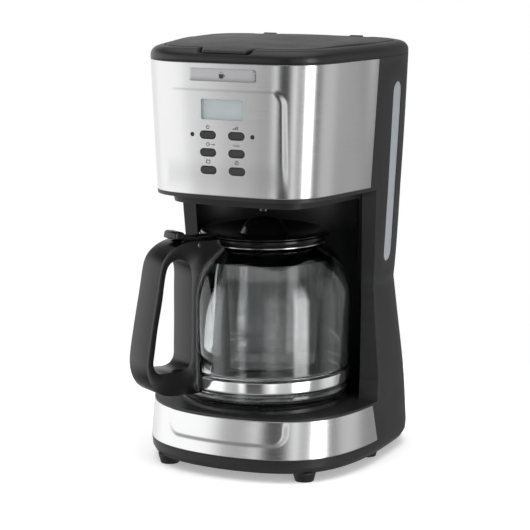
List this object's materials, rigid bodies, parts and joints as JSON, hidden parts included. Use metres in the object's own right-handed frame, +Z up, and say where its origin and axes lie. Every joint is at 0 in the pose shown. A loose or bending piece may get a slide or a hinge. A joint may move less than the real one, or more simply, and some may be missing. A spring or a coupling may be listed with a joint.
{
  "type": "drip coffee maker",
  "caption": "Tall drip coffee maker with a glass carafe on a warming plate, steel-faced brew head with buttons and display, hinged lid and side water window.",
  "frame": {"origin": "on the surface it stands on, in the middle of the overall width and depth, 3.6 mm behind the axis of the carafe and brew basket", "axes": "+Z up, +Y towards the back, +X to the user's right when facing the control panel"},
  "size_m": [0.1946, 0.231, 0.3464],
  "materials": {
    "black_satin": "fine moulded satin",
    "black_gloss": "polished",
    "collar_black": "satin",
    "lid_black": "fine texture",
    "stainless": "brushed",
    "chrome_band": "polished",
    "plate_coat": "non-stick coat",
    "seal_rubber": "matte",
    "foot_rubber": "matte",
    "clear_glass": "clear",
    "window_clear": "frosted clear plastic",
    "tank_plastic": "translucent smoke",
    "lens_clear": "clear plastic",
    "lcd_grey": "liquid crystal panel",
    "button_grey": "soft matte",
    "led_clear": "tinted light pipe",
    "board_green": "solder mask",
    "switch_black": "moulded",
    "zinc_screw": "zinc plated",
    "cast_aluminium": "cast",
    "spring_steel": "drawn wire",
    "silicone": "translucent silicone",
    "white_plastic": "moulded",
    "handle_black": "satin"
  },
  "bodies": {
    "machine": {"base_pan": "black_satin", "rubber_feet": "foot_rubber", "base_screws": "zinc_screw", "cord_gland": "black_satin", "lower_housing": "black_satin", "base_trim_band": "stainless", "upper_housing": "black_satin", "head_trim_band": "stainless", "water_level_window": "window_clear", "warming_plate": "plate_coat", "plate_seal": "seal_rubber", "heater_block": "cast_aluminium", "heater_clamp": "zinc_screw", "clamp_screw": "zinc_screw", "thermostat": "zinc_screw", "thermal_fuse": "white_plastic", "water_tank": "tank_plastic", "check_valve_body": "white_plastic", "cold_water_hose": "silicone", "hot_water_riser": "silicone", "riser_seal": "silicone", "top_collar": "collar_black", "lid_hinge_pins": "spring_steel", "keypad_frame": "black_gloss", "lcd_lens": "lens_clear", "lcd_module": "lcd_grey", "indicator_lights": "led_clear", "control_board": "board_green", "tact_switches": "switch_black", "board_screws": "zinc_screw", "name_plate": "chrome_band"},
    "top_lid": {"lid": "lid_black", "spray_head": "black_satin"},
    "basket": {"brew_basket": "black_gloss", "drip_stop_spring": "spring_steel"},
    "drip_valve": {"drip_stop_valve": "black_gloss"},
    "carafe": {"carafe_glass": "clear_glass", "carafe_band": "chrome_band", "carafe_handle": "handle_black", "carafe_lid_pin": "spring_steel", "carafe_collar": "handle_black", "handle_screw": "zinc_screw"},
    "carafe_cover": {"carafe_lid": "handle_black"},
    "valve_ball": {"check_valve_ball": "white_plastic"},
    "button_power": {"power_button": "button_grey"},
    "button_strength": {"strength_button": "button_grey"},
    "button_delay": {"delay_button": "button_grey"},
    "button_minute": {"minute_button": "button_grey"},
    "button_program": {"program_button": "button_grey"},
    "button_hour": {"hour_button": "button_grey"}
  },
  "joints": [
    {"name": "lid_hinge", "type": "hinge", "parent": "machine", "child": "top_lid", "pos_m": [0, 0.0946, 0.341], "axis": [-1, 0, 0], "range_deg": [0, 88]},
    {"name": "basket_lift", "type": "slide", "parent": "machine", "child": "basket", "axis": [0, 0, 1], "range_m": [0, 0.066]},
    {"name": "drip_valve_slide", "type": "slide", "parent": "basket", "child": "drip_valve", "axis": [0, 0, -1], "range_m": [0, 0.003], "deforming": ["drip_stop_spring"]},
    {"name": "carafe_out", "type": "slide", "parent": "machine", "child": "carafe", "axis": [0, -1, 0], "range_m": [0, 0.22]},
    {"name": "carafe_lid_hinge", "type": "hinge", "parent": "carafe", "child": "carafe_cover", "pos_m": [-0.0358, -0.06561, 0.1862], "axis": [0.866, -0.5, 0], "range_deg": [0, 2.2]},
    {"name": "check_ball_lift", "type": "slide", "parent": "machine", "child": "valve_ball", "axis": [0, 0, 1], "range_m": [0, 0.0015]},
    {"name": "power_press", "type": "slide", "parent": "machine", "child": "button_power", "axis": [0, 1, 0], "range_m": [0, 0.001], "stiffness_N_per_m": 250},
    {"name": "strength_press", "type": "slide", "parent": "machine", "child": "button_strength", "axis": [0, 1, 0], "range_m": [0, 0.001], "stiffness_N_per_m": 250},
    {"name": "delay_press", "type": "slide", "parent": "machine", "child": "button_delay", "axis": [0, 1, 0], "range_m": [0, 0.001], "stiffness_N_per_m": 250},
    {"name": "minute_press", "type": "slide", "parent": "machine", "child": "button_minute", "axis": [0, 1, 0], "range_m": [0, 0.001], "stiffness_N_per_m": 250},
    {"name": "program_press", "type": "slide", "parent": "machine", "child": "button_program", "axis": [0, 1, 0], "range_m": [0, 0.001], "stiffness_N_per_m": 250},
    {"name": "hour_press", "type": "slide", "parent": "machine", "child": "button_hour", "axis": [0, 1, 0], "range_m": [0, 0.001], "stiffness_N_per_m": 250}
  ],
  "couplings": [
    {"joint": "basket_lift", "follows": "lid_hinge", "m_per_rad": 0.042},
    {"joint": "drip_valve_slide", "follows": "carafe_out", "ratio": 0.0135}
  ]
}
